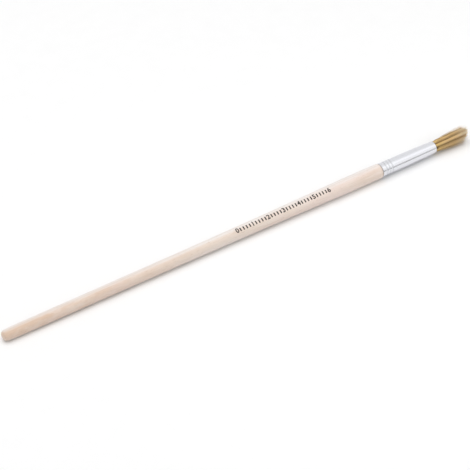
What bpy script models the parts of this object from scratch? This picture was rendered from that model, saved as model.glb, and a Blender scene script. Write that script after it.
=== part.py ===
"""A round stencil brush: a turned wooden handle, a crimped aluminium ferrule and a set tuft of bristles.

Every piece is modelled standing up about the brush's own axis, with the tail tip at height 0 and the
bristles on top. An empty then lays the whole brush on its side, as it rests on a table: metres, +Z up,
the tail towards -X, the bristles towards +X, and the middle of the footprint at the origin.
"""

import math
import random

import bmesh
import bpy
from mathutils import Vector
from mathutils.geometry import interpolate_bezier

# Handle
HANDLE_LENGTH = 0.2354  # tail tip to the shoulder that meets the ferrule
TAIL_RADIUS = 0.00318
TAIL_END_RADIUS = 0.00296  # the tail narrows to this before its end is rounded
TAIL_ROUND = 0.0024  # rounding of the tail's end
TAIL_TAPER = 0.011  # from the tail tip to where the narrowing starts
TAIL_REACH = 0.163  # how far the slim tail runs before the wood swells
BELLY_RADIUS = 0.00435
BELLY_SETBACK = 0.022  # from the shoulder back to the widest place
BELLY_EASE = 0.014  # length over which the swelling levels off
SHOULDER_PROUD = 0.0002  # the shoulder stands this far outside the ferrule
SHOULDER_ROUND = 0.0006
TENON_CHAMFER = 0.0006

# Ferrule
FERRULE_LENGTH = 0.0384
FERRULE_REAR_RADIUS = 0.00412
FERRULE_MOUTH_RADIUS = 0.0036
FERRULE_WALL = 0.00035
CRIMP_COUNT = 3
CRIMP_START = 0.0028  # from the rear rim to the middle of the first crimp
CRIMP_PITCH = 0.002
CRIMP_WIDTH = 0.0015
CRIMP_DEPTH = 0.00022

# Bristle roots, the thread that binds them and the resin that holds them
ROOT_DEPTH = 0.004  # from the ferrule's mouth down to the bound roots
COLLAR_LENGTH = 0.0012  # full width left above and below the binding
THREAD_DIAMETER = 0.0005
THREAD_PITCH = 0.0011
THREAD_TURNS = 3
PLUG_LENGTH = 0.006
MENISCUS_DEPTH = 0.0008  # hollow that the resin leaves as it sets

# Bristles
BRISTLE_LENGTH = 0.026  # from the mouth to the tip of the longest
BRISTLE_RINGS = 8  # rings of bristles: six times the square of this is their number
BRISTLE_MOUTH_SIDE = 0.00027
BRISTLE_MIDDLE_SIDE = 0.00026
BRISTLE_TIP_SIDE = 0.00011
TUFT_RADIUS = 0.0047
TUFT_BELLY = 0.02  # from the mouth to the tuft's widest place
TIP_DOME = 0.0036  # the outermost bristles end this far short of the middle ones
LENGTH_SCATTER = 0.0009
TIP_SCATTER = 0.00006
TUFT_SAG = 0.0009  # how far the tips hang over towards the table
TUFT_BEND = 1.25  # the sag grows with this power of the distance from the mouth
MIDDLE_SHARE = 0.68  # where along its free length a bristle has its bend

# Clearance between pieces that fit together, and facets
FIT_GAP = 0.00015
TURNED_SIDES = 32
ARC_STEPS = 4
CRIMP_STEPS = 4
TAPER_POINTS = 5
SWELL_POINTS = 15
BELLY_POINTS = 6
THREAD_POINTS = 24  # points on one turn of the thread
MERGE_DISTANCE = 0.000001
SEED = 7

# Places along the axis, measured from the tail tip
BELLY_HEIGHT = HANDLE_LENGTH - BELLY_SETBACK
FERRULE_BASE = HANDLE_LENGTH + FIT_GAP
MOUTH_HEIGHT = FERRULE_BASE + FERRULE_LENGTH
TIP_HEIGHT = MOUTH_HEIGHT + BRISTLE_LENGTH
WAIST_LENGTH = THREAD_TURNS * THREAD_PITCH + THREAD_DIAMETER + 2 * FIT_GAP
ROOT_LENGTH = WAIST_LENGTH + 2 * COLLAR_LENGTH
ROOT_TOP = MOUTH_HEIGHT - ROOT_DEPTH
ROOT_BASE = ROOT_TOP - ROOT_LENGTH
PLUG_TOP = ROOT_BASE - FIT_GAP
PLUG_BASE = PLUG_TOP - PLUG_LENGTH
TENON_TOP = PLUG_BASE - FIT_GAP
SHOULDER_RADIUS = FERRULE_REAR_RADIUS + SHOULDER_PROUD

# The way across the axis that points down once the brush lies on its side
TO_TABLE = Vector((1.0, 0.0))


def principled(name, colour, roughness, metallic=0.0):
    """A plain surface finish."""
    material = bpy.data.materials.new(name)
    material.use_nodes = True
    shader = material.node_tree.nodes["Principled BSDF"]
    shader.inputs["Base Color"].default_value = (*colour, 1.0)
    shader.inputs["Roughness"].default_value = roughness
    shader.inputs["Metallic"].default_value = metallic
    return material


def arc(centre_radius, centre_height, round_radius, start, end):
    """Points (radius, height) on a round corner, between two angles in degrees from straight out."""
    points = []
    for step in range(ARC_STEPS + 1):
        angle = math.radians(start + (end - start) * step / ARC_STEPS)
        across = centre_radius + round_radius * math.cos(angle)
        along = centre_height + round_radius * math.sin(angle)
        points.append((across, along))
    return points


def swell(start, start_reach, end, end_reach, count):
    """Points (radius, height) on a curve that leaves and reaches its ends straight along the axis."""
    first = Vector((*start, 0.0))
    last = Vector((*end, 0.0))
    leave = first + Vector((0.0, start_reach, 0.0))
    reach = last - Vector((0.0, end_reach, 0.0))
    return [(point.x, point.y) for point in interpolate_bezier(first, leave, reach, last, count)]


def ferrule_outer(height):
    """Outer radius of the ferrule at a height on the axis: a straight taper with pressed-in crimps."""
    above_rim = height - FERRULE_BASE
    taper = FERRULE_MOUTH_RADIUS - FERRULE_REAR_RADIUS
    radius = FERRULE_REAR_RADIUS + taper * above_rim / FERRULE_LENGTH
    for number in range(CRIMP_COUNT):
        offset = abs(above_rim - CRIMP_START - number * CRIMP_PITCH)
        if offset < CRIMP_WIDTH / 2:
            radius -= CRIMP_DEPTH * (1 + math.cos(2 * math.pi * offset / CRIMP_WIDTH)) / 2
    return radius


def ferrule_inner(height):
    """Inner radius of the ferrule, whose wall is the same all along."""
    return ferrule_outer(height) - FERRULE_WALL


def bore_fit(height):
    """Radius of what fits inside the ferrule."""
    return ferrule_inner(height) - FIT_GAP


def crimp_heights():
    """Heights on the axis that draw every crimp's curve."""
    heights = []
    for number in range(CRIMP_COUNT):
        middle = FERRULE_BASE + CRIMP_START + number * CRIMP_PITCH
        for step in range(CRIMP_STEPS + 1):
            heights.append(middle + CRIMP_WIDTH * (step / CRIMP_STEPS - 0.5))
    return heights


def handle_outline():
    """The bare wood's outline (radius, height), from the tail up to the shoulder's edge."""
    tail_round = min(TAIL_ROUND, TAIL_END_RADIUS)
    outline = arc(TAIL_END_RADIUS - tail_round, tail_round, tail_round, -90, 0)
    tail_end = (TAIL_END_RADIUS, tail_round)
    tail = (TAIL_RADIUS, TAIL_TAPER)
    belly = (BELLY_RADIUS, BELLY_HEIGHT)
    shoulder = (SHOULDER_RADIUS, HANDLE_LENGTH - SHOULDER_ROUND)
    half_taper = (TAIL_TAPER - tail_round) / 2
    half_way = (shoulder[1] - BELLY_HEIGHT) / 2
    outline += swell(tail_end, 0.0, tail, half_taper, TAPER_POINTS)[1:]
    outline += swell(tail, TAIL_REACH, belly, BELLY_EASE, SWELL_POINTS)[1:]
    outline += swell(belly, half_way, shoulder, 0.0, BELLY_POINTS)[1:-1]
    outline += arc(SHOULDER_RADIUS - SHOULDER_ROUND, shoulder[1], SHOULDER_ROUND, 0, 90)
    return outline


def tenon_outline():
    """The wood inside the ferrule, from the shoulder up: it follows the crimps that grip it."""
    outline = [(bore_fit(FERRULE_BASE), HANDLE_LENGTH)]
    outline += [(bore_fit(height), height) for height in crimp_heights()]
    outline.append((bore_fit(TENON_TOP), TENON_TOP - TENON_CHAMFER))
    outline.append((bore_fit(TENON_TOP) - TENON_CHAMFER, TENON_TOP))
    return outline


def ferrule_outline():
    """The ferrule's outer side with its rounded rims, from the rear rim up to the mouth."""
    rim = FERRULE_WALL / 2
    rear_middle = ferrule_outer(FERRULE_BASE) - rim
    mouth_middle = ferrule_outer(MOUTH_HEIGHT) - rim
    outline = arc(rear_middle, FERRULE_BASE + rim, rim, -90, 0)
    outline += [(ferrule_outer(height), height) for height in crimp_heights()]
    outline += arc(mouth_middle, MOUTH_HEIGHT - rim, rim, 0, 90)
    return outline


def bundle_radius(height):
    """Radius of the whole bundle of bristles: held by the ferrule, then flaring above its mouth."""
    if height <= MOUTH_HEIGHT:
        return bore_fit(height)
    held = bore_fit(MOUTH_HEIGHT)
    flare = math.sin(math.pi / 2 * (height - MOUTH_HEIGHT) / TUFT_BELLY)
    return held + (TUFT_RADIUS - held) * flare


def tuft_middle(height):
    """Middle of the bundle across the axis: past the mouth it bends over to the table."""
    share = max(0.0, height - MOUTH_HEIGHT) / BRISTLE_LENGTH
    return TO_TABLE * TUFT_SAG * share ** TUFT_BEND


def above_table(across, table):
    """A place across the axis, lifted to the table where it would lie below it."""
    return across - TO_TABLE * max(0.0, across.dot(TO_TABLE) - table)


def pressed_place(place, height, table):
    """Where a bristle lies at a height in the bundle, which the table presses flat on its underside."""
    middle = tuft_middle(height)
    spread = place * bundle_radius(height)
    outermost = 1 - 1 / (3 * BRISTLE_RINGS)
    room = (table - middle.dot(TO_TABLE)) / outermost
    depth = bundle_radius(height) * place.normalized().dot(TO_TABLE)
    if depth > room:
        spread *= room / depth
    return middle + spread


def add_part(name, data, material, axis, parts):
    """A named piece in the parts collection, carried by the brush's axis."""
    part = bpy.data.objects.new(name, data)
    part.data.materials.append(material)
    part.parent = axis
    parts.objects.link(part)
    return part


def turned(name, profile, closed, material, axis, parts):
    """A piece turned about the axis from a profile (radius, height) that runs down its outer side."""
    mesh = bpy.data.meshes.new(name)
    edges = [(index, index + 1) for index in range(len(profile) - 1)]
    if closed:
        edges.append((len(profile) - 1, 0))
    mesh.from_pydata([(radius, 0.0, height) for radius, height in profile], edges, [])
    part = add_part(name, mesh, material, axis, parts)
    screw = part.modifiers.new("turning", "SCREW")
    screw.axis = "Z"
    screw.steps = TURNED_SIDES
    screw.render_steps = TURNED_SIDES
    screw.use_merge_vertices = True
    screw.merge_threshold = MERGE_DISTANCE
    screw.use_smooth_shade = True
    return part


def make_handle(axis, parts):
    """The turned wood in one piece: tail, belly, shoulder and the tenon inside the ferrule."""
    rising = [(0.0, 0.0)] + handle_outline() + tenon_outline() + [(0.0, TENON_TOP)]
    wood = principled("bare_wood", (0.72, 0.61, 0.51), 0.62)
    turned("handle", rising[::-1], False, wood, axis, parts)


def make_ferrule(axis, parts):
    """The drawn tube with its crimps pressed right through the wall."""
    rim = FERRULE_WALL / 2
    falling = ferrule_outline()[::-1]
    rising = [(ferrule_inner(FERRULE_BASE), FERRULE_BASE + rim)]
    rising += [(ferrule_inner(height), height) for height in crimp_heights()]
    rising.append((ferrule_inner(MOUTH_HEIGHT), MOUTH_HEIGHT - rim))
    aluminium = principled("drawn_aluminium", (0.83, 0.84, 0.85), 0.25, 1.0)
    turned("ferrule", falling + rising, True, aluminium, axis, parts)


def make_resin_plug(axis, parts):
    """The cast resin behind the roots, with the hollow that its rear face sets to."""
    top = bore_fit(PLUG_TOP)
    base = bore_fit(PLUG_BASE)
    profile = [(0.0, PLUG_TOP), (top, PLUG_TOP), (base, PLUG_BASE)]
    for step in range(1, ARC_STEPS + 1):
        share = 1 - step / ARC_STEPS
        profile.append((base * share, PLUG_BASE + MENISCUS_DEPTH * (1 - share ** 2)))
    resin = principled("amber_resin", (0.45, 0.28, 0.1), 0.2)
    turned("resin_plug", profile, False, resin, axis, parts)


def waist_radius():
    """Radius of the roots where the thread draws them in."""
    return bore_fit(ROOT_BASE) - THREAD_DIAMETER - FIT_GAP


def make_binding_thread(axis, parts):
    """The thread wound round the roots: one unbroken tube."""
    coil_radius = waist_radius() + FIT_GAP + THREAD_DIAMETER / 2
    start = ROOT_BASE + (ROOT_LENGTH - THREAD_TURNS * THREAD_PITCH) / 2
    points = []
    for step in range(THREAD_TURNS * THREAD_POINTS + 1):
        turn = step / THREAD_POINTS
        angle = 2 * math.pi * turn
        height = start + turn * THREAD_PITCH
        points.append(Vector((coil_radius * math.cos(angle), coil_radius * math.sin(angle), height)))
    curve = bpy.data.curves.new("binding_thread", "CURVE")
    curve.dimensions = "3D"
    curve.bevel_depth = THREAD_DIAMETER / 2
    curve.bevel_resolution = 1
    curve.use_fill_caps = True
    spline = curve.splines.new("POLY")
    spline.points.add(len(points) - 1)
    for target, point in zip(spline.points, points):
        target.co = (*point, 1.0)
    add_part("binding_thread", curve, principled("waxed_thread", (0.7, 0.62, 0.48), 0.8), axis, parts)
    half_turn = THREAD_POINTS // 2
    spans = [(a - b).length for i, a in enumerate(points) for b in points[i + half_turn:]]
    print(f"binding thread: least gap to itself {1000 * (min(spans) - THREAD_DIAMETER):.2f} mm")


def hexagon_reach(point):
    """How far out a point lies in a unit hexagon: 0 in the middle, 1 on its edge."""
    apothem = math.cos(math.pi / 6)
    sides = [math.radians(60 * side) for side in range(6)]
    return max(point.x * math.cos(side) + point.y * math.sin(side) for side in sides) / apothem


def root_faces(mesh):
    """The root disc's top, cut into one triangle for each bristle."""
    bmesh.ops.create_circle(mesh, cap_ends=True, cap_tris=True, segments=6, radius=1.0)
    bmesh.ops.subdivide_edges(mesh, edges=mesh.edges[:], cuts=BRISTLE_RINGS - 1, use_grid_fill=True)
    for vertex in mesh.verts:
        reach = hexagon_reach(vertex.co) * bundle_radius(ROOT_TOP)
        flat = vertex.co.xy
        flat = flat.normalized() * reach if reach > 0 else flat
        vertex.co = (flat.x, flat.y, ROOT_TOP)
    return mesh.faces[:]


def add_root_body(mesh):
    """The bound roots below the disc: a collar, the waist under the thread and a second collar."""
    waist_top = ROOT_TOP - COLLAR_LENGTH
    waist_base = ROOT_BASE + COLLAR_LENGTH
    rings = [(bore_fit(waist_top), waist_top), (waist_radius(), waist_top), (waist_radius(), waist_base),
             (bore_fit(waist_base), waist_base), (bore_fit(ROOT_BASE), ROOT_BASE)]
    loop = [edge for edge in mesh.edges if edge.is_boundary]
    for radius, height in rings:
        grown = bmesh.ops.extrude_edge_only(mesh, edges=loop)["geom"]
        loop = [item for item in grown if isinstance(item, bmesh.types.BMEdge)]
        for vertex in {vertex for edge in loop for vertex in edge.verts}:
            flat = vertex.co.xy.normalized() * radius
            vertex.co = (flat.x, flat.y, height)
    bmesh.ops.edgeloop_fill(mesh, edges=loop)


def bristle_plan(face, draw):
    """What one bristle keeps all along: its place in the bundle, its own length and its lean."""
    middle = face.calc_center_median().xy
    share = middle.length / bundle_radius(ROOT_TOP)
    length = BRISTLE_LENGTH - TIP_DOME * share ** 2 - LENGTH_SCATTER * draw.random()
    lean_angle = 2 * math.pi * draw.random()
    lean = Vector((math.cos(lean_angle), math.sin(lean_angle))) * TIP_SCATTER * draw.random()
    corners = [vertex.co.xy - middle for vertex in face.verts]
    return middle / bundle_radius(ROOT_TOP), length, lean, corners


def grow_bristles(mesh, faces, number):
    """Every triangle of the disc drawn up into a bristle: to the mouth, to its bend and to its tip."""
    draw = random.Random(SEED)
    plans = [bristle_plan(face, draw) for face in faces]
    for index, face in enumerate(faces):
        face[number] = index
    slope, tail_table = resting_line()
    cell_side = bundle_radius(ROOT_TOP) / BRISTLE_RINGS
    stations = [(0.0, BRISTLE_MOUTH_SIDE), (MIDDLE_SHARE, BRISTLE_MIDDLE_SIDE), (1.0, BRISTLE_TIP_SIDE)]
    for share, side in stations:
        faces = bmesh.ops.extrude_discrete_faces(mesh, faces=faces)["faces"]
        for face in faces:
            place, length, lean, corners = plans[face[number]]
            height = MOUTH_HEIGHT + length * share
            table = tail_table + slope * height
            middle = above_table(pressed_place(place, height, table) + lean * share ** 2, table)
            for vertex, corner in zip(face.verts, corners):
                across = above_table(middle + corner * side / cell_side, table)
                vertex.co = (across.x, across.y, height)


def make_bristle_tuft(axis, parts):
    """The bristles, one body with the roots that the resin and the thread hold together."""
    mesh = bmesh.new()
    number = mesh.faces.layers.int.new("bristle")
    faces = root_faces(mesh)
    add_root_body(mesh)
    grow_bristles(mesh, faces, number)
    bmesh.ops.recalc_face_normals(mesh, faces=mesh.faces[:])
    data = bpy.data.meshes.new("bristle_tuft")
    mesh.to_mesh(data)
    mesh.free()
    add_part("bristle_tuft", data, principled("hog_bristle", (0.5, 0.33, 0.16), 0.5), axis, parts)


def balance_height(outline):
    """Height of the middle of the volume inside an outline."""
    volume = 0.0
    moment = 0.0
    for (radius, height), (next_radius, next_height) in zip(outline, outline[1:]):
        slice_volume = (radius ** 2 + next_radius ** 2) * (next_height - height)
        volume += slice_volume
        moment += slice_volume * (height + next_height) / 2
    return moment / volume


def resting_line():
    """Slope of the line on the table under the stiff pieces, and its depth below the axis at the tail."""
    outline = handle_outline() + ferrule_outline()
    balance = balance_height(outline)
    behind = [point for point in outline if point[1] <= balance]
    ahead = [point for point in outline if point[1] > balance]
    best = None
    for radius, height in behind:
        for next_radius, next_height in ahead:
            slope = (next_radius - radius) / (next_height - height)
            carried = radius + slope * (balance - height)
            if best is None or carried > best[0]:
                best = (carried, slope, radius - slope * height)
    return best[1], best[2]


def lay_down(parts):
    """The empty that carries every piece and lays the brush on its side, on the table."""
    slope, tail_table = resting_line()
    lie = math.atan(slope)
    axis = bpy.data.objects.new("brush_axis", None)
    axis.rotation_euler = (0.0, math.pi / 2 - lie, 0.0)
    axis.location = (-TIP_HEIGHT / 2 * math.cos(lie), 0.0, tail_table * math.cos(lie))
    parts.objects.link(axis)
    return axis


def main():
    for old in list(bpy.data.objects):
        bpy.data.objects.remove(old, do_unlink=True)
    parts = bpy.data.collections.new("round_stencil_brush")
    bpy.context.scene.collection.children.link(parts)
    axis = lay_down(parts)
    make_handle(axis, parts)
    make_ferrule(axis, parts)
    make_resin_plug(axis, parts)
    make_binding_thread(axis, parts)
    make_bristle_tuft(axis, parts)
    bpy.context.view_layer.update()


main()
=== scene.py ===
import math

import bmesh
import bpy
import numpy as np
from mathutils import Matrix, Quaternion, Vector


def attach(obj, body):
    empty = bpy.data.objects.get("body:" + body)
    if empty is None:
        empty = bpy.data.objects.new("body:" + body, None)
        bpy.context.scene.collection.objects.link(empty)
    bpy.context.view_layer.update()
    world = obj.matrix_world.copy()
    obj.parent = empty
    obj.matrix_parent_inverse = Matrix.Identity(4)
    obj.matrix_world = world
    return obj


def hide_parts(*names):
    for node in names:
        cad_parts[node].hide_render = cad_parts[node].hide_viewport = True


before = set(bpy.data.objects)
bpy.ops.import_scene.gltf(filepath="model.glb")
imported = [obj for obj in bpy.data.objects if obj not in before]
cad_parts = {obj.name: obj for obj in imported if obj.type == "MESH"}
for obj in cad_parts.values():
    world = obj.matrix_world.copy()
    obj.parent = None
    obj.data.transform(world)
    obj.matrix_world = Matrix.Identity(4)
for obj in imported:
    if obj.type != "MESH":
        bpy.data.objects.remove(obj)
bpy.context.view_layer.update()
print("frame loaded:", ", ".join(sorted(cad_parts)))


# Shader wiring

class Wire:
    # one socket of a node tree; arithmetic on it adds Math nodes
    def __init__(self, wiring, socket):
        self.wiring = wiring
        self.socket = socket

    def maths(self, operation, first, second=0.0):
        return self.wiring.node("ShaderNodeMath", {"operation": operation}, {0: first, 1: second})

    def __add__(self, other):
        return self.maths("ADD", self, other)

    def __radd__(self, other):
        return self.maths("ADD", other, self)

    def __sub__(self, other):
        return self.maths("SUBTRACT", self, other)

    def __rsub__(self, other):
        return self.maths("SUBTRACT", other, self)

    def __mul__(self, other):
        return self.maths("MULTIPLY", self, other)

    def __rmul__(self, other):
        return self.maths("MULTIPLY", other, self)

    def __truediv__(self, other):
        return self.maths("DIVIDE", self, other)

    def __rtruediv__(self, other):
        return self.maths("DIVIDE", other, self)

    def fraction(self):
        return self.maths("FRACT", self)

    def orMore(self, other):
        return self.maths("MAXIMUM", self, other)

    def angleFrom(self, other):
        return self.maths("ARCTAN2", self, other)


class Wiring:
    # makes the nodes of one tree, a material's or the world's
    def __init__(self, tree):
        self.tree = tree
        tree.nodes.clear()

    def node(self, kind, settings=None, inputs=None, out=0):
        # any node: its settings first, then the values or links of its sockets
        made = self.tree.nodes.new(kind)
        for key, value in (settings or {}).items():
            if key == "stops":
                while len(made.color_ramp.elements) < len(value):
                    made.color_ramp.elements.new(1.0)
                for stop, (position, level) in zip(made.color_ramp.elements, value):
                    stop.position = position
                    stop.color = (level, level, level, 1.0)
            else:
                setattr(made, key, value)
        for key, value in (inputs or {}).items():
            if isinstance(value, Wire):
                self.tree.links.new(value.socket, made.inputs[key])
            else:
                made.inputs[key].default_value = value
        return Wire(self, made.outputs[out]) if made.outputs else made

    def place(self, stretch):
        # object coordinates in metres, times a stretch for each axis
        spot = self.node("ShaderNodeTexCoord", out="Object")
        return self.node("ShaderNodeVectorMath", {"operation": "MULTIPLY"}, {0: spot, 1: stretch})

    def noise(self, stretch, detail=3.0, roughness=0.55):
        return self.node("ShaderNodeTexNoise", {}, {"Vector": self.place(stretch), "Scale": 1.0,
                                                    "Detail": detail, "Roughness": roughness})

    def ramp(self, value, low, high):
        # 0 below low, 1 above high, smooth between
        return self.node("ShaderNodeMapRange", {"interpolation_type": "SMOOTHSTEP"},
                         {"Value": value, "From Min": low, "From Max": high})

    def attribute(self, name):
        return self.node("ShaderNodeAttribute", {"attribute_name": name}, out="Fac")

    def mix(self, factor, first, second):
        # colours: first where factor is 0, second where it is 1
        pair = [value if isinstance(value, Wire) else (*value, 1.0) for value in (first, second)]
        return self.node("ShaderNodeMix", {"data_type": "RGBA"}, {0: factor, 6: pair[0], 7: pair[1]}, out=2)

    def bump(self, height, strength, distance):
        return self.node("ShaderNodeBump", {}, {"Height": height, "Strength": strength, "Distance": distance})


class Finish(Wiring):
    # a material in the making
    def __init__(self, name):
        self.material = bpy.data.materials.new(name)
        self.material.use_nodes = True
        super().__init__(self.material.node_tree)

    def surface(self, inputs):
        shader = self.node("ShaderNodeBsdfPrincipled", {}, inputs)
        self.node("ShaderNodeOutputMaterial", {}, {"Surface": shader})
        return self.material


# The brush's axis and profiles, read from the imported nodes

def nodePoints(name):
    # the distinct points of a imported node
    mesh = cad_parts[name].data
    points = np.empty(len(mesh.vertices) * 3, np.float32)
    mesh.vertices.foreach_get("co", points)
    return np.unique(points.reshape(-1, 3).astype(float).round(7), axis=0)


handlePoints = nodePoints("handle")
axisMiddle = handlePoints.mean(0)
axisWay = np.linalg.svd(handlePoints - axisMiddle, full_matrices=False)[2][0]
axisWay = axisWay * np.sign(axisWay[0])
upWay = np.array([0.0, 0.0, 1.0]) - axisWay[2] * axisWay
upWay = upWay / np.linalg.norm(upWay)
frontWay = np.cross(axisWay, upWay)
ringGap = 3e-6  # points closer than this along the axis belong to one ring
wallLeast = 0.0001  # a ring with two radii further apart than this has a wall


def polar(points):
    # place along the axis, and distance from it
    along = (points - axisMiddle) @ axisWay
    return along, np.linalg.norm(points - axisMiddle - np.outer(along, axisWay), axis=1)


def rings(points):
    # place along the axis, greatest and least radius of every ring of a turned node
    along, radius = polar(points)
    order = np.argsort(along)
    along, radius = along[order], radius[order]
    starts = np.flatnonzero(np.diff(along, prepend=along[0] - 1.0) > ringGap)
    return along[starts], np.maximum.reduceat(radius, starts), np.minimum.reduceat(radius, starts)


def easedSlopes(value, step):
    # slope at every point: the weighted harmonic mean of those beside it, or 0 where these turn
    rise = np.diff(value) / step
    before, after = rise[:-1], rise[1:]
    wideBefore, wideAfter = 2 * step[1:] + step[:-1], step[1:] + 2 * step[:-1]
    same = before * after > 0
    safeBefore, safeAfter = np.where(same, before, 1.0), np.where(same, after, 1.0)
    mean = (wideBefore + wideAfter) / (wideBefore / safeBefore + wideAfter / safeAfter)
    return np.concatenate([rise[:1], np.where(same, mean, 0.0), rise[-1:]])


def fineProfile(along, radius, parts):
    # a cubic through every ring, by chord length, that never swings past the rings
    step = np.hypot(np.diff(along), np.diff(radius))
    share = np.linspace(0.0, 1.0, parts, endpoint=False)
    fine = []
    for value in (along, radius):
        slope = easedSlopes(value, step)
        leave, reach = (slope[:-1] * step)[:, None], (slope[1:] * step)[:, None]
        cubic = (2 * share**3 - 3 * share**2 + 1) * value[:-1, None]
        cubic = cubic + (share**3 - 2 * share**2 + share) * leave
        cubic = cubic + (3 * share**2 - 2 * share**3) * value[1:, None] + (share**3 - share**2) * reach
        fine.append(np.append(cubic.ravel(), value[-1]))
    return fine[0], fine[1]


def onAxis(along):
    # point = middle + along * way
    return axisMiddle + np.asarray(along)[..., None] * axisWay


def around(angle):
    # unit vectors out from the axis; angle 0 points up and a quarter turn points to the front
    angle = np.asarray(angle)
    return np.cos(angle)[..., None] * upWay + np.sin(angle)[..., None] * frontWay


# Meshes from arrays of points

def makePiece(name, points, faces, material):
    # a smooth mesh object at the origin, riding on the brush
    mesh = bpy.data.meshes.new(name)
    mesh.from_pydata(points.reshape(-1, 3), [], [])
    corners = np.concatenate([group.ravel() for group in faces])
    sizes = np.concatenate([np.full(len(group), group.shape[1]) for group in faces])
    mesh.loops.add(len(corners))
    mesh.loops.foreach_set("vertex_index", corners.astype(np.int32))
    mesh.polygons.add(len(sizes))
    mesh.polygons.foreach_set("loop_start", (np.cumsum(sizes) - sizes).astype(np.int32))
    mesh.update(calc_edges=True)
    mesh.validate()
    mesh.materials.append(material)
    mesh.shade_smooth()
    piece = bpy.data.objects.new(name, mesh)
    bpy.context.scene.collection.objects.link(piece)
    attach(piece, "root")
    return piece


def setAttribute(piece, name, values):
    # one number for every point, read by a finish
    layer = piece.data.attributes.new(name, "FLOAT", "POINT")
    layer.data.foreach_set("value", values.astype(np.float32))


def gridFaces(rows, columns, closeRows=False, closeColumns=False):
    # quads of a grid whose points are numbered row by row
    row = np.arange(rows if closeRows else rows - 1)[:, None]
    column = np.arange(columns if closeColumns else columns - 1)[None, :]
    nextRow, nextColumn = (row + 1) % rows, (column + 1) % columns
    quad = [row * columns + column, row * columns + nextColumn,
            nextRow * columns + nextColumn, nextRow * columns + column]
    return np.stack(np.broadcast_arrays(*quad), -1).reshape(-1, 4)


def turnedPoints(along, radius, sides, wobble):
    # a profile carried round the axis: point = axis(along) + (radius - wobble) * around(angle)
    angle = np.linspace(0.0, 2 * np.pi, sides, endpoint=False)
    reach = radius[:, None] - wobble(along[:, None], angle[None, :])
    return onAxis(along)[:, None, :] + reach[..., None] * around(angle)[None, :, :]


def tubeFaces(tubes, rows, sides):
    # the quads and both end caps of many tubes whose points are numbered tube by tube
    wall = gridFaces(rows, sides, closeColumns=True)
    first = np.arange(tubes)[:, None, None] * rows * sides
    ring = np.arange(sides)
    caps = np.stack([ring[::-1], (rows - 1) * sides + ring])
    return [(wall[None] + first).reshape(-1, 4), (caps[None] + first).reshape(-1, sides)]


# Finishes

woodLook = {
    "pith": (0.0, 0.021, -0.013), "ringPitch": 0.0017, "ringWaver": 0.004,  # the pith lies beside the handle
    "pale": (0.885, 0.785, 0.71), "warm": (0.845, 0.71, 0.615), "blush": (0.845, 0.695, 0.635),
    "tail": (0.75, 0.56, 0.43), "tailReach": (-0.16, 0.0),  # the wood darkens towards the tail
    "paintedSheen": (0.88, 0.86, 0.85), "paleSide": (0.0, 0.42, 0.91),  # the side facing up and back is painted paler: a painted sheen of the white surroundings
    "late": (0.70, 0.54, 0.425), "fibre": (0.62, 0.47, 0.36), "fleck": (0.55, 0.36, 0.26),
    "grimeAndShade": (0.4, 0.31, 0.25), "grimeAndShadeBack": (0.0011, 0.0005),  # darker where the wood meets the metal: grime, and painted shade of the gap
    "grainDepth": 0.00006,
}


def bareWood(shoulder):
    # rings are the fraction of the distance from the pith; fibres, clouds and flecks are stretched noises
    wood = Finish("bareWood")
    look = woodLook
    across = wood.place((0, 1, 1))
    beside = wood.node("ShaderNodeVectorMath", {"operation": "SUBTRACT"}, {0: across, 1: look["pith"]})
    reach = wood.node("ShaderNodeVectorMath", {"operation": "LENGTH"}, {0: beside}, out="Value")
    waver = wood.noise((11, 90, 90), detail=2.0)
    late = wood.ramp(((reach + waver * look["ringWaver"]) / look["ringPitch"]).fraction(), 0.35, 1.0)
    fibre = wood.noise((40, 2600, 2600), detail=4.0, roughness=0.6)
    cloud = wood.noise((42, 90, 90), detail=3.0)
    blush = wood.noise((30, 60, 60), detail=2.0)
    mottle = wood.ramp(wood.noise((110, 330, 330), detail=2.0), 0.35, 0.65)
    fleck = wood.ramp(wood.noise((330, 3600, 3600), detail=2.0), 0.62, 0.72)
    along = wood.node("ShaderNodeSeparateXYZ", {}, {0: wood.place((1, 1, 1))}, out="X")
    outwards = wood.node("ShaderNodeNewGeometry", out="Normal")
    # painted sheen: the side that faces up and back is mixed towards a paler tone, as if glossed by the white
    # surroundings
    paintedSheen = wood.node("ShaderNodeVectorMath", {"operation": "DOT_PRODUCT"},
                        {0: outwards, 1: look["paleSide"]}, out="Value")
    grimeAndShadeStart, grimeAndShadeFull = look["grimeAndShadeBack"]
    # grime and painted shade: the wood darkens in the last millimetre before the ferrule, where the seam is
    # shaded
    grimeAndShade = wood.ramp(along, shoulder - grimeAndShadeStart, shoulder - grimeAndShadeFull)
    tone = wood.mix(wood.ramp(cloud, 0.35, 0.65), look["pale"], look["warm"])
    tone = wood.mix(wood.ramp(blush, 0.45, 0.65) * 0.6, tone, look["blush"])
    tone = wood.mix((1 - wood.ramp(along, *look["tailReach"])) * (0.55 + mottle * 0.6), tone, look["tail"])
    # painted sheen on the upper back side
    tone = wood.mix(wood.ramp(paintedSheen, 0.6, 1.0) * 0.62, tone, look["paintedSheen"])
    tone = wood.mix(late * 0.3, tone, look["late"])
    tone = wood.mix(wood.ramp(fibre, 0.45, 0.75) * 0.25, tone, look["fibre"])
    tone = wood.mix(fleck * 0.45, tone, look["fleck"])
    tone = wood.mix(grimeAndShade * 0.48, tone, look["grimeAndShade"])
    grain = wood.bump(fibre * 0.7 - fleck * 0.5 + late * 0.3, 0.3, look["grainDepth"])
    return wood.surface({"Base Color": tone, "Roughness": 0.45 + fibre * 0.2, "Specular IOR Level": 0.5,
                         "Sheen Weight": 0.6, "Normal": grain})


metalLook = {
    "dull": (0.75, 0.755, 0.79), "bright": (0.795, 0.8, 0.835), "crimp": (0.52, 0.53, 0.56),
    "drawnDepth": 0.00002,
}


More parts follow.
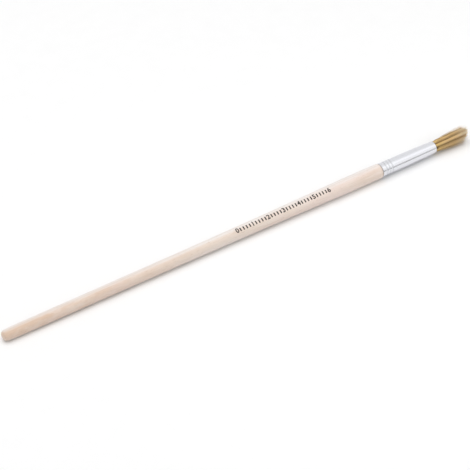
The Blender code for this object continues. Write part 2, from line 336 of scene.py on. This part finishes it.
def drawnAluminium():
    # fine lines along the tube, smears, and where the crimps are pressed a rougher finish and a darker tone,
    # painted shade in the grooves
    metal = Finish("drawnAluminium")
    drawing = metal.noise((20, 5200, 5200), detail=3.0)
    smear = metal.noise((260, 260, 260), detail=3.0)
    pressed = metal.attribute("pressed")
    tone = metal.mix(smear, metalLook["dull"], metalLook["bright"])
    # painted shade: the pressed grooves are darkened
    tone = metal.mix(pressed * 0.35, tone, metalLook["crimp"])
    rough = 0.1 + drawing * 0.08 + smear * 0.08 + pressed * 0.08
    return metal.surface({"Base Color": tone, "Metallic": 1.0, "Roughness": rough,
                          "Normal": metal.bump(drawing, 0.1, metalLook["drawnDepth"])})


hairLook = {
    # a dark and a pale bristle at the root, along the body and at the tip
    "root": ((0.16, 0.06, 0.005), (0.9, 0.64, 0.25)),
    "body": ((0.17, 0.055, 0.002), (1.0, 0.75, 0.39)),
    "tip": ((0.6, 0.34, 0.12), (1.0, 0.87, 0.64)),
    # painted shade: the colour of the deep bristles, and the near black at the mouth
    "innerShade": (0.75, 0.42, 0.13), "gap": (0.09, 0.05, 0.015), "gloss": (1.0, 0.8, 0.5, 1.0),
}


def hogBristle(mouthShadeReach):
    # tint runs from dark to pale bristles, reach from the mouth to the tip, depth into the bundle; painted
    # shade darkens the deep bristles, a ring where they leave the mouth and two spots under the rim
    hair = Finish("hogBristle")
    tint = hair.attribute("tint")
    reach = hair.attribute("reach")
    depth = hair.attribute("depth")
    root, body, tip = [hair.mix(tint, *hairLook[part]) for part in ("root", "body", "tip")]
    tone = hair.mix(hair.ramp(reach, 0.0, 0.45), root, body)
    tone = hair.mix(hair.ramp(reach, 0.6, 1.0), tone, tip)
    # painted shade on the deep bristles
    innerShade = depth * (1 - hair.ramp(reach, 0.5, 0.9))
    tone = hair.mix(innerShade * 0.5, tone, hairLook["innerShade"])
    # painted shade: a dark ring where the bristles leave the mouth, and dark spots under the rim
    lipShade = 0.6 - 0.6 * hair.ramp(reach, 0.0, 0.05)
    lipShade = lipShade.orMore(hair.attribute("gap") * (1 - hair.ramp(reach, mouthShadeReach / 2, mouthShadeReach * 2)))
    tone = hair.mix(lipShade, tone, hairLook["gap"])
    return hair.surface({"Base Color": tone, "Roughness": 0.3 + tint * 0.14, "Specular IOR Level": 0.5,
                         "Specular Tint": hairLook["gloss"], "Sheen Weight": 0.35,
                         "Sheen Tint": hairLook["gloss"]})


def amberResin():
    # a swirl of two ambers
    resin = Finish("amberResin")
    swirl = resin.noise((500, 500, 500), detail=3.0)
    tone = resin.mix(swirl, (0.40, 0.22, 0.07), (0.58, 0.38, 0.15))
    return resin.surface({"Base Color": tone, "Roughness": 0.12 + swirl * 0.2})


def waxedThread():
    # fine fuzz in two tones of flax
    thread = Finish("waxedThread")
    fuzz = thread.noise((6000, 6000, 6000), detail=3.0)
    tone = thread.mix(fuzz, (0.52, 0.44, 0.31), (0.74, 0.67, 0.53))
    return thread.surface({"Base Color": tone, "Roughness": 0.7 + fuzz * 0.2})


def stampInk():
    # near black, worn thin in patches along the grain
    ink = Finish("stampInk")
    worn = ink.noise((900, 2600, 2600), detail=4.0)
    tone = ink.mix(ink.ramp(worn, 0.5, 0.8) * 0.5, (0.035, 0.028, 0.026), (0.3, 0.23, 0.19))
    return ink.surface({"Base Color": tone, "Roughness": 0.5 + worn * 0.2})


# Handle

handle = {
    "sides": 96, "parts": 8, "sanding": 0.00001, "ripples": (900, 60, 25),
    # the fine line turned behind the shoulder
    "lineBack": 0.0016, "lineDepth": 0.00008, "lineWidth": 0.00016, "lineReach": 3, "linePoints": 13,
}
handleAlong, handleRadius, _ = rings(handlePoints)
ferruleAlong, ferruleOuter, ferruleInner = rings(nodePoints("ferrule"))
rearAlong, mouthAlong = ferruleAlong[0], ferruleAlong[-1]


def makeHandle(material):
    # the turned profile with a fine line cut in it, and the slight ripple that sanding leaves
    def sanding(along, angle):
        fine, middling, coarse = handle["ripples"]
        ripple = np.sin(along * fine) * np.cos(angle * 3 + along * middling)
        ripple = ripple + np.cos(2 * angle + along * coarse)
        return handle["sanding"] * (2 + ripple)

    shown = handleAlong < rearAlong
    shownAlong, shownRadius = fineProfile(handleAlong[shown], handleRadius[shown], handle["parts"])
    lineAlong = rearAlong - handle["lineBack"]
    reach = handle["lineReach"] * handle["lineWidth"]
    across = np.linspace(-reach, reach, handle["linePoints"])
    along = np.sort(np.concatenate([shownAlong, lineAlong + across]))
    radius = np.interp(along, shownAlong, shownRadius)
    radius = radius - handle["lineDepth"] * np.exp(-((along - lineAlong) / handle["lineWidth"]) ** 2)
    along = np.concatenate([along, handleAlong[~shown]])
    radius = np.concatenate([radius, handleRadius[~shown]])
    points = turnedPoints(along, radius, handle["sides"], sanding)
    rows, sides = points.shape[:2]
    poles = np.stack([onAxis(along[0]), onAxis(along[-1])])
    ring = np.arange(sides)
    nextRing = (ring + 1) % sides
    top = (rows - 1) * sides
    tailCap = np.stack([np.full(sides, rows * sides), nextRing, ring], 1)
    topCap = np.stack([np.full(sides, rows * sides + 1), top + ring, top + nextRing], 1)
    body = gridFaces(rows, sides, closeColumns=True)
    everyPoint = np.concatenate([points.reshape(-1, 3), poles])
    piece = makePiece("turned_handle", everyPoint, [body, tailCap, topCap], material)
    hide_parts("handle")
    return along, radius


handleLine = makeHandle(bareWood(onAxis(rearAlong)[0]))
print("handle turned")


# Ferrule

ferrule = {"sides": 112, "parts": 6, "dent": 0.000008, "dentWaves": (420, 1130), "crimpDepth": 0.00022}


def makeFerrule(material):
    # the tube's outer and inner profiles as one closed loop, carried round the axis
    def dents(along, angle):
        long, short = ferrule["dentWaves"]
        return ferrule["dent"] * (np.sin(along * long + 2 * angle) + np.sin(along * short - 3 * angle))

    walled = ferruleOuter - ferruleInner > wallLeast
    outerAlong, outerRadius = fineProfile(ferruleAlong, ferruleOuter, ferrule["parts"])
    innerAlong, innerRadius = fineProfile(ferruleAlong[walled], ferruleInner[walled], ferrule["parts"])
    along = np.concatenate([outerAlong, innerAlong[::-1]])
    radius = np.concatenate([outerRadius, innerRadius[::-1]])
    points = turnedPoints(along, radius, ferrule["sides"], dents)
    faces = gridFaces(len(along), ferrule["sides"], closeRows=True, closeColumns=True)
    piece = makePiece("crimped_ferrule", points, [faces], material)
    ends = ferruleAlong[walled][[0, -1]]
    straight = np.interp(along, ends, ferruleOuter[walled][[0, -1]])
    pressed = np.clip((straight - radius) / ferrule["crimpDepth"], 0.0, 1.0)
    pressed[len(outerAlong):] = 0.0
    setAttribute(piece, "pressed", np.repeat(pressed, ferrule["sides"]))
    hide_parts("ferrule")


makeFerrule(drawnAluminium())
print("ferrule drawn and crimped")


# Bristles

tuft = {
    "bristles": 1300, "strays": 300, "sides": 3, "freeRows": 8, "seed": 11,
    "rootWidth": 0.00024, "tipWidth": 0.00013, "strayRoot": 0.00006, "strayTip": 0.00003,
    # the bundle swells beyond the mouth, and its outer bristles bend out more than the inner ones
    "belly": 0.0034, "swell": 0.006, "spread": 3.0, "bound": 0.0005, "placeJitter": 0.012, "twist": 0.25,
    # a domed end of uneven lengths, cut shorter to the front and below
    "dome": 0.0018, "scatter": 0.0035, "slant": 0.0022, "slantShare": (0.4, 0.6),
    # locks, and the wisps in them, draw their bristles together and lean aside as one
    "locks": 40, "lockJitter": 0.04, "lockPull": (0.2, 0.5), "lockLean": 0.00015,
    "wisps": 130, "wispJitter": 0.03, "wispPull": 0.55, "wispLean": 0.00026,
    "lean": 0.00009, "leanBend": 1.5, "wave": 0.00004, "waveTurns": (9, 7), "loose": 0.00036,
    # stray hairs stand off all round, more of them above and behind; the low ones hang to the table
    "strayRim": (0.8, 1.0), "strayLift": 0.35, "strayHeading": -0.8, "strayLonger": 0.002,
    "strayLean": 0.0025, "strayPower": 1.5, "strayJitter": 0.0002, "strayBend": 1.1,
    "sag": 0.0007, "bend": 1.25, "floorGap": 0.00004, "leastDown": 0.01,
    # tips split into finer hairs
    "flags": 2, "flagRows": 4, "flagWidth": 0.00005, "flagTip": 0.00002, "flagSpread": 0.00025,
    "flagLength": (0.85, 1.15),
    # the filled middle, a closed body with a domed end
    "coreShare": 0.8, "coreLength": 0.8, "coreRows": 16, "coreSides": 48, "coreDome": (0.9, 8),
    # the core's tint rises from the mouth to its end: painted shade inside the bundle, painted light towards
    # the tip
    "coreTint": (0.7, 0.3),
    # tints: the mean, and the spread among locks, wisps and single bristles
    "tintMean": 0.98, "lockTint": 0.06, "wispTint": 0.16, "ownTint": 0.2,
    # painted shade: darker bristles at set angles round the bundle, for the shaded gaps between wisps, and
    # how much the strays take part
    "shadeStreaks": (0.29, 1.06, 2.2, 2.9, -0.75, -1.3, -2.1, -2.7), "streakWidth": 0.16, "streakDepth": 1.3,
    "streakRange": (0.8, 1.1), "strayStreak": 0.5,
    # painted shade: dark spots between the bristles and the rim, and darker bristles that lie deep in the
    # bundle
    "mouthShadeAngles": (1.25, -0.85), "mouthShadeWidth": 0.3, "mouthShadeReach": 0.06, "mouthShadePower": 3,
    "deepShare": 0.92, "deepRange": 0.3,
}
tuftAlong, _ = polar(nodePoints("bristle_tuft"))
threadAlong, threadRadius = polar(nodePoints("binding_thread"))


def sunflower(count):
    # evenly spread places in a unit disc: radius sqrt(i / n), turned by the golden angle each time
    number = np.arange(count)
    share = np.sqrt((number + 0.5) / count)
    angle = number * math.pi * (3 - math.sqrt(5))
    return np.stack([share * np.cos(angle), share * np.sin(angle)], 1)


def nearest(places, middles):
    # the number of the middle that lies closest to each place
    return np.argmin(np.linalg.norm(places[:, None] - middles[None], axis=2), axis=1)


def bundleRadius(share, height, rootHeights):
    # held by the ferrule and drawn in under the thread; above the mouth a power of the share is added, which
    # nears its full size as 1 - exp(-height / swell)
    held = ferruleInner[ferruleOuter - ferruleInner > wallLeast][-1] - tuft["rootWidth"]
    waist = threadRadius.min() - tuft["rootWidth"]
    inside = np.interp(height, rootHeights, [held, held, waist, waist, held])
    flare = 1 - np.exp(-np.maximum(height, 0.0) / tuft["swell"])
    return share * inside + (tuft["belly"] - held) * flare * share ** tuft["spread"]


def tubePoints(spine, width, turn):
    # small polygons round every point of every spine: spine + width / 2 * around(turn)
    return spine[:, :, None] + (width / 2)[:, :, None, None] * around(turn)[:, None]


def makeTuft(material):
    # each bristle's spine fans out from its place in the mouth, drawn towards the middle of its lock and its
    # wisp; stray hairs stand off all round, and the low ones hang over to the table
    draw = np.random.default_rng(tuft["seed"])
    bristles, strays, sides = tuft["bristles"], tuft["strays"], tuft["sides"]
    count = bristles + strays
    stray = np.arange(count) >= bristles
    longest = tuftAlong.max() - mouthAlong
    rimAngle = draw.random(strays) * 2 * np.pi
    rimAngle = rimAngle + tuft["strayLift"] * np.sin(tuft["strayHeading"] - rimAngle)
    rim = np.stack([np.cos(rimAngle), np.sin(rimAngle)], 1) * draw.uniform(*tuft["strayRim"], (strays, 1))
    place = np.concatenate([sunflower(bristles) + draw.normal(0, tuft["placeJitter"], (bristles, 2)), rim])
    place = place / np.maximum(1.0, np.linalg.norm(place, axis=1))[:, None]
    lockMiddles = sunflower(tuft["locks"]) + draw.normal(0, tuft["lockJitter"], (tuft["locks"], 2))
    wispMiddles = sunflower(tuft["wisps"]) + draw.normal(0, tuft["wispJitter"], (tuft["wisps"], 2))
    lock = nearest(place, lockMiddles)
    wisp = nearest(place, wispMiddles)
    share = np.linalg.norm(place, axis=1)
    length = longest - tuft["dome"] * share**2 - tuft["scatter"] * draw.random(count)
    level, tilt = tuft["slantShare"]
    length = length - tuft["slant"] * np.maximum(0.0, level + tilt * (place[:, 1] - place[:, 0]))
    length = length + stray * tuft["strayLonger"] * draw.random(count)

    bound = tuft["bound"]
    rootHeights = np.array([tuftAlong.min(), threadAlong.min() - bound, threadAlong.min(),
                            threadAlong.max(), threadAlong.max() + bound]) - mouthAlong
    freeHeights = np.linspace(0.0, 1.0, tuft["freeRows"]) * length[:, None]
    height = np.concatenate([np.broadcast_to(rootHeights, (count, len(rootHeights))), freeHeights], axis=1)
    free = np.clip(height / length[:, None], 0.0, 1.0)
    low = stray * np.maximum(0.0, -place[:, 0])
    hang = tuft["sag"] * low[:, None] * (np.maximum(height, 0.0) / longest) ** tuft["bend"]

    held = np.where(stray, 0.0, 1.0)[:, None]
    lockPull = held * draw.uniform(*tuft["lockPull"], tuft["locks"])[lock][:, None] * (1 - (1 - free) ** 2)
    wispPull = held * tuft["wispPull"] * free
    spot = place[:, None] + (wispMiddles[wisp] - place)[:, None] * wispPull[..., None]
    spot = spot + (lockMiddles[lock][:, None] - spot) * lockPull[..., None]
    spotShare = np.linalg.norm(spot, axis=2)
    outwards = spot / spotShare[..., None]
    turned = np.arctan2(place[:, 1], place[:, 0])[:, None]
    loose = draw.normal(0, tuft["loose"], count) * share
    reachOut = bundleRadius(spotShare, height, rootHeights) + loose[:, None] * free
    room = onAxis(mouthAlong + height)[..., 2] - hang - tuft["floorGap"]
    reachOut = np.minimum(reachOut, room / np.maximum(-outwards[..., 0], tuft["leastDown"]))

    lean = draw.normal(0, tuft["lockLean"], (tuft["locks"], 2))[lock]
    lean = lean + draw.normal(0, tuft["lean"], (count, 2))
    lean = lean + draw.normal(0, tuft["wispLean"], (tuft["wisps"], 2))[wisp]
    standOff = tuft["strayLean"] * draw.random(count) ** tuft["strayPower"]
    astray = stray * (standOff + draw.normal(0, tuft["strayJitter"], count)) / share
    phase = draw.random((count, 1)) * 2 * np.pi
    upTurns, sideTurns = tuft["waveTurns"]
    wave = np.stack([np.sin(free * upTurns + phase), np.cos(free * sideTurns + phase)], 2) * tuft["wave"]
    across = outwards * reachOut[..., None] + (lean[:, None] + wave) * free[..., None] ** tuft["leanBend"]
    across = across + (astray[:, None] * place)[:, None] * free[..., None] ** tuft["strayBend"]
    across[..., 0] -= hang
    spine = onAxis(mouthAlong + height) + across[..., :1] * upWay + across[..., 1:] * frontWay
    rootWidth = np.where(stray, tuft["strayRoot"], tuft["rootWidth"])[:, None]
    tipWidth = np.where(stray, tuft["strayTip"], tuft["tipWidth"])[:, None]
    width = rootWidth + (tipWidth - rootWidth) * free**2
    spine[..., 2] = np.maximum(spine[..., 2], tuft["floorGap"] + width / 2)
    corner = (np.arange(sides) + 0.5) * 2 * np.pi / sides
    turn = turned + draw.normal(0, tuft["twist"], (count, 1)) + corner
    points = tubePoints(spine, width, turn)

    # every bristle's tip splits into finer hairs that bend apart
    flags, flagRows = tuft["flags"], tuft["flagRows"]
    rise = np.linspace(0.0, 1.0, flagRows)[None, None, :, None]
    apart = draw.normal(0, tuft["flagSpread"], (bristles, flags, 1, 2))
    apart = apart[..., :1] * upWay + apart[..., 1:] * frontWay
    ahead = (spine[:bristles, -1] - spine[:bristles, -2])[:, None, None]
    ahead = ahead * draw.uniform(*tuft["flagLength"], (bristles, flags, 1, 1))
    flagSpine = (spine[:bristles, None, -2:-1] + ahead * rise + apart * rise**2).reshape(-1, flagRows, 3)
    flagWidth = np.linspace(tuft["flagWidth"], tuft["flagTip"], flagRows)[None, :]
    flagSpine[..., 2] = np.maximum(flagSpine[..., 2], tuft["floorGap"])
    flagWidths = np.repeat(flagWidth, bristles * flags, 0)
    flagPoints = tubePoints(flagSpine, flagWidths, np.repeat(turn[:bristles], flags, 0))

    # the filled middle of the bundle: a closed body under the outer bristles, with a domed end
    coreRise = np.linspace(0.0, 1.0, tuft["coreRows"])
    coreHeight = rootHeights[-1] + coreRise * (tuft["coreLength"] * longest - rootHeights[-1])
    narrow, power = tuft["coreDome"]
    coreRadius = bundleRadius(tuft["coreShare"], coreHeight, rootHeights)
    coreRadius = coreRadius * np.sqrt(1 - narrow * coreRise**power)
    coreAngle = np.linspace(0.0, 2 * np.pi, tuft["coreSides"], endpoint=False)
    corePoints = onAxis(mouthAlong + coreHeight)[:, None] + coreRadius[:, None, None] * around(coreAngle)

    everyPoint = np.concatenate([points.reshape(-1, 3), flagPoints.reshape(-1, 3), corePoints.reshape(-1, 3)])
    faces = tubeFaces(count, height.shape[1], sides)
    faces += [group + points[..., 0].size for group in tubeFaces(bristles * flags, flagRows, sides)]
    coreFirst = points[..., 0].size + flagPoints[..., 0].size
    faces += [group + coreFirst for group in tubeFaces(1, tuft["coreRows"], tuft["coreSides"])]
    piece = makePiece("bristle_tuft_set", everyPoint, faces, material)
    # painted shade: bristles near the streak angles get a lower tint, for the shaded gaps between wisps
    shadeStreak = np.exp(-(((turned - np.array(tuft["shadeStreaks"])) / tuft["streakWidth"]) ** 2)).max(1)
    takesPart = np.where(stray, tuft["strayStreak"], draw.uniform(*tuft["streakRange"], count))
    shadeStreak = tuft["streakDepth"] * shadeStreak * takesPart
    tint = draw.normal(tuft["tintMean"], tuft["lockTint"], tuft["locks"])[lock]
    tint = tint + draw.normal(0, tuft["wispTint"], tuft["wisps"])[wisp]
    tint = np.clip(tint + draw.normal(0, tuft["ownTint"], count) - shadeStreak, 0.0, 1.0)
    # painted shade: how deep each bristle lies, and where dark spots fall under the rim
    depth = np.clip((tuft["deepShare"] - share) / tuft["deepRange"], 0.0, 1.0)
    gap = np.exp(-(((turned - np.array(tuft["mouthShadeAngles"])) / tuft["mouthShadeWidth"]) ** 2)).max(1)
    gap = gap * share ** tuft["mouthShadePower"]
    # painted shade near the mouth and painted light towards the tip, in the core's tint
    coreLow, coreGain = tuft["coreTint"]
    coreTint = coreLow + coreGain * coreRise
    plain = np.zeros_like(coreRise)
    for name, values, coreValues in (("tint", tint, coreTint), ("depth", depth, plain), ("gap", gap, plain)):
        strandValues = np.repeat(values, height.shape[1] * sides)
        flagValues = np.repeat(values[:bristles], flags * flagRows * sides)
        coreValues = np.repeat(coreValues, tuft["coreSides"])
        setAttribute(piece, name, np.concatenate([strandValues, flagValues, coreValues]))
    strandReach = np.repeat(free.ravel(), sides)
    coreReach = np.repeat(np.clip(coreHeight / longest, 0.0, 1.0), tuft["coreSides"])
    setAttribute(piece, "reach", np.concatenate([strandReach, np.ones(len(flagValues)), coreReach]))
    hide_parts("bristle_tuft")


makeTuft(hogBristle(tuft["mouthShadeReach"]))
print("bristles set")


# Binding thread and resin, inside the ferrule

thread = {"turns": 3, "points": 240, "sides": 8, "plies": 2, "twistLength": 0.0011, "inset": 0.00002}


def makeThread(material):
    # two plies twisted round one helix: helix(turn) + ply offset turning in the plane across the helix
    diameter = threadRadius.max() - threadRadius.min()
    coil = (threadRadius.max() + threadRadius.min()) / 2
    ply = diameter / 2 - thread["inset"]
    angle = np.linspace(0.0, 2 * np.pi * thread["turns"], thread["points"])
    low, high = threadAlong.min() + diameter / 2, threadAlong.max() - diameter / 2
    along = np.linspace(low, high, thread["points"])
    twist = angle * coil / thread["twistLength"] * 2 * np.pi
    side = np.linspace(0.0, 2 * np.pi, thread["sides"], endpoint=False)
    tubes = []
    for number in range(thread["plies"]):
        turn = twist + 2 * np.pi * number / thread["plies"]
        reach = coil + ply / 2 * np.cos(turn)[:, None] + ply / 2 * np.cos(side)[None, :]
        up = along[:, None] + ply / 2 * np.sin(turn)[:, None] + ply / 2 * np.sin(side)[None, :]
        tubes.append(onAxis(up) + reach[..., None] * around(angle)[:, None])
    faces = tubeFaces(thread["plies"], thread["points"], thread["sides"])
    piece = makePiece("wound_thread", np.stack(tubes), faces, material)
    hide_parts("binding_thread")


makeThread(waxedThread())
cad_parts["resin_plug"].data.materials.clear()
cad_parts["resin_plug"].data.materials.append(amberResin())
print("roots bound and set in resin")


# Printed marks: a plain scale in centimetres

marks = {
    "start": 0.0965, "places": 31, "pitch": 0.002, "every": 5, "angle": 0.4,
    "width": 0.00075, "tall": 0.0021, "acrossPoints": 10,
    "numberSize": 0.0038, "numberBold": 0.03, "numberCuts": 16,
    "lift": 0.000012, "thickness": 0.00003,
}


def onHandle(back, across):
    # a point on the wood: back from the ferrule along the axis, across it along the round surface
    along = rearAlong - back
    radius = np.interp(along, handleLine[0], handleLine[1])
    turn = marks["angle"] + across / radius
    return onAxis(along) + (radius + marks["lift"])[..., None] * around(turn)


def numberShape(text):
    # a number's flat shape of unit size as triangles, cut into strips so that it can bend round the wood
    curve = bpy.data.curves.new("number", "FONT")
    curve.body = text
    curve.align_x = "CENTER"
    curve.align_y = "CENTER"
    curve.offset = marks["numberBold"]
    shape = bmesh.new()
    shape.from_mesh(bpy.data.meshes.new_from_object(bpy.data.objects.new("number", curve)))
    for cut in np.linspace(-0.5, 0.5, marks["numberCuts"]):
        pieces = shape.verts[:] + shape.edges[:] + shape.faces[:]
        bmesh.ops.bisect_plane(shape, geom=pieces, plane_co=(0.0, cut, 0.0), plane_no=(0.0, 1.0, 0.0))
    bmesh.ops.triangulate(shape, faces=shape.faces[:])
    shape.verts.index_update()
    points = np.array([vertex.co[:2] for vertex in shape.verts])
    faces = np.array([[vertex.index for vertex in face.verts] for face in shape.faces])
    shape.free()
    return points, faces


def makeMarks(material):
    # strokes are narrow patches of the round surface; the numbers of the centimetres lie between them
    number = np.arange(marks["places"])
    middle = marks["start"] - number * marks["pitch"]
    strokes = middle[number % marks["every"] > 0]
    back = strokes[:, None, None] + np.array([0.5, -0.5])[None, :, None] * marks["width"]
    across = marks["tall"] * np.linspace(0.5, -0.5, marks["acrossPoints"])
    back, across = np.broadcast_arrays(back, across)
    points = [onHandle(back, across).reshape(-1, 3)]
    patch = gridFaces(2, marks["acrossPoints"])
    first = np.arange(len(strokes))[:, None, None] * 2 * marks["acrossPoints"]
    faces = [(patch[None] + first).reshape(-1, 4)]
    start = len(points[0])
    for index, back in enumerate(middle[:: marks["every"]]):
        flat, triangles = numberShape(str(index))
        flat = flat * marks["numberSize"]
        points.append(onHandle(back - flat[:, 0], -flat[:, 1]))
        faces.append(triangles + start)
        start += len(flat)
    piece = makePiece("printed_scale", np.concatenate(points), faces, material)
    film = piece.modifiers.new("film", "SOLIDIFY")
    film.thickness = marks["thickness"]
    film.offset = 0.0


makeMarks(stampInk())
print("scale printed")


# Floor, light and camera

studio = {
    "floorSize": 6.0, "floorColour": ((0.95, 0.95, 0.95), (0.98, 0.98, 0.98)), "sky": 0.56,
    "floorBounce": (0.82, 0.82, 0.82),  # what the floor gives back to the brush
    # the lamps by place, aim, size and power: a softbox overhead, and a weak one low in front of the bristles
    "lamps": [((-0.15, 0.1, 1.3), (0.0, 0.0, 0.0), 1.5, 11.3),
              ((0.24, -0.24, 0.16), (0.13, 0.0, 0.0), 0.2, 0.13)],
    # what the metal mirrors, by degrees round the brush from straight up, the front side positive
    "strips": [(-90, 0.93), (-20, 0.93), (-9, 0.98), (9, 1.16), (17, 1.24), (26, 1.27), (34, 1.21),
               (42, 1.12), (62, 1.09), (68, 1.04), (76, 0.83), (82, 0.42), (90, 0.2)],
}
camera = {"azimuth": -33.6, "elevation": 40.6, "distance": 0.8, "focus": 1504.0, "frame": 470.0,
          "target": (-0.0121, -0.00074, 0.00423), "roll": 0.13, "sensor": 36.0}


def makeFloor():
    # one large square; it looks paler to the camera and in the metal than the light that it gives back
    paper = Finish("paleFloor")
    speck = paper.noise((90, 90, 90), detail=2.0)
    colour = paper.mix(speck, *studio["floorColour"])
    seen = paper.node("ShaderNodeLightPath", out="Is Camera Ray")
    seen = seen.orMore(paper.node("ShaderNodeLightPath", out="Is Glossy Ray"))
    seen = seen.orMore(paper.node("ShaderNodeLightPath", out="Is Transmission Ray"))
    colour = paper.mix(seen, studio["floorBounce"], colour)
    half = studio["floorSize"] / 2
    corners = [(-half, -half, 0.0), (half, -half, 0.0), (half, half, 0.0), (-half, half, 0.0)]
    mesh = bpy.data.meshes.new("floor")
    mesh.from_pydata(corners, [], [(0, 1, 2, 3)])
    mesh.materials.append(paper.surface({"Base Color": colour, "Roughness": 0.9, "Specular IOR Level": 0.1}))
    floor = bpy.data.objects.new("floor", mesh)
    bpy.context.scene.collection.objects.link(floor)


def makeWorld():
    # white to the camera, long strips of light beside the brush to the metal, plain soft light to the rest
    world = bpy.data.worlds.new("studio")
    world.use_nodes = True
    sky = Wiring(world.node_tree)
    way = sky.node("ShaderNodeTexCoord", out="Generated")
    front = 0.0 - sky.node("ShaderNodeSeparateXYZ", {}, {0: way}, out="Y")
    turn = front.angleFrom(sky.node("ShaderNodeSeparateXYZ", {}, {0: way}, out="Z"))
    stops = [(degrees / 360 + 0.5, level) for degrees, level in studio["strips"]]
    mirrored = sky.node("ShaderNodeValToRGB", {"stops": stops}, {0: turn / (2 * math.pi) + 0.5})
    seen = sky.node("ShaderNodeLightPath", out="Is Camera Ray")
    seen = seen.orMore(sky.node("ShaderNodeLightPath", out="Is Transmission Ray"))
    glossy = sky.node("ShaderNodeLightPath", out="Is Glossy Ray") * (1 - seen)
    strength = seen + glossy * mirrored + (1 - seen - glossy) * studio["sky"]
    light = sky.node("ShaderNodeBackground", {}, {"Color": (1.0, 1.0, 1.0, 1.0), "Strength": strength})
    sky.node("ShaderNodeOutputWorld", {}, {"Surface": light})
    bpy.context.scene.world = world


def makeLamp(place, aim, size, power):
    # a square softbox that points from its place to its aim
    lamp = bpy.data.lights.new("softbox", "AREA")
    lamp.energy = power
    lamp.size = size
    softbox = bpy.data.objects.new("softbox", lamp)
    softbox.location = place
    softbox.visible_glossy = False
    softbox.rotation_euler = (Vector(aim) - Vector(place)).to_track_quat("-Z", "Y").to_euler()
    bpy.context.scene.collection.objects.link(softbox)


def makeCamera():
    # place = target + distance along the view's azimuth and elevation; focus is in pixels of the frame
    azimuth, elevation = math.radians(camera["azimuth"]), math.radians(camera["elevation"])
    level = math.cos(elevation)
    back = Vector((math.sin(azimuth) * level, -math.cos(azimuth) * level, math.sin(elevation)))
    lens = bpy.data.cameras.new("view")
    lens.sensor_width = camera["sensor"]
    lens.lens = camera["focus"] / camera["frame"] * camera["sensor"]
    lens.clip_start = 0.01
    viewer = bpy.data.objects.new("view", lens)
    viewer.location = Vector(camera["target"]) + back * camera["distance"]
    roll = Quaternion((0.0, 0.0, 1.0), math.radians(-camera["roll"]))
    viewer.rotation_euler = ((-back).to_track_quat("-Z", "Y") @ roll).to_euler()
    bpy.context.scene.collection.objects.link(viewer)
    bpy.context.scene.camera = viewer


makeFloor()
makeWorld()
for place, aim, size, power in studio["lamps"]:
    makeLamp(place, aim, size, power)
makeCamera()
bpy.context.scene.view_settings.view_transform = "Standard"
print("studio set")
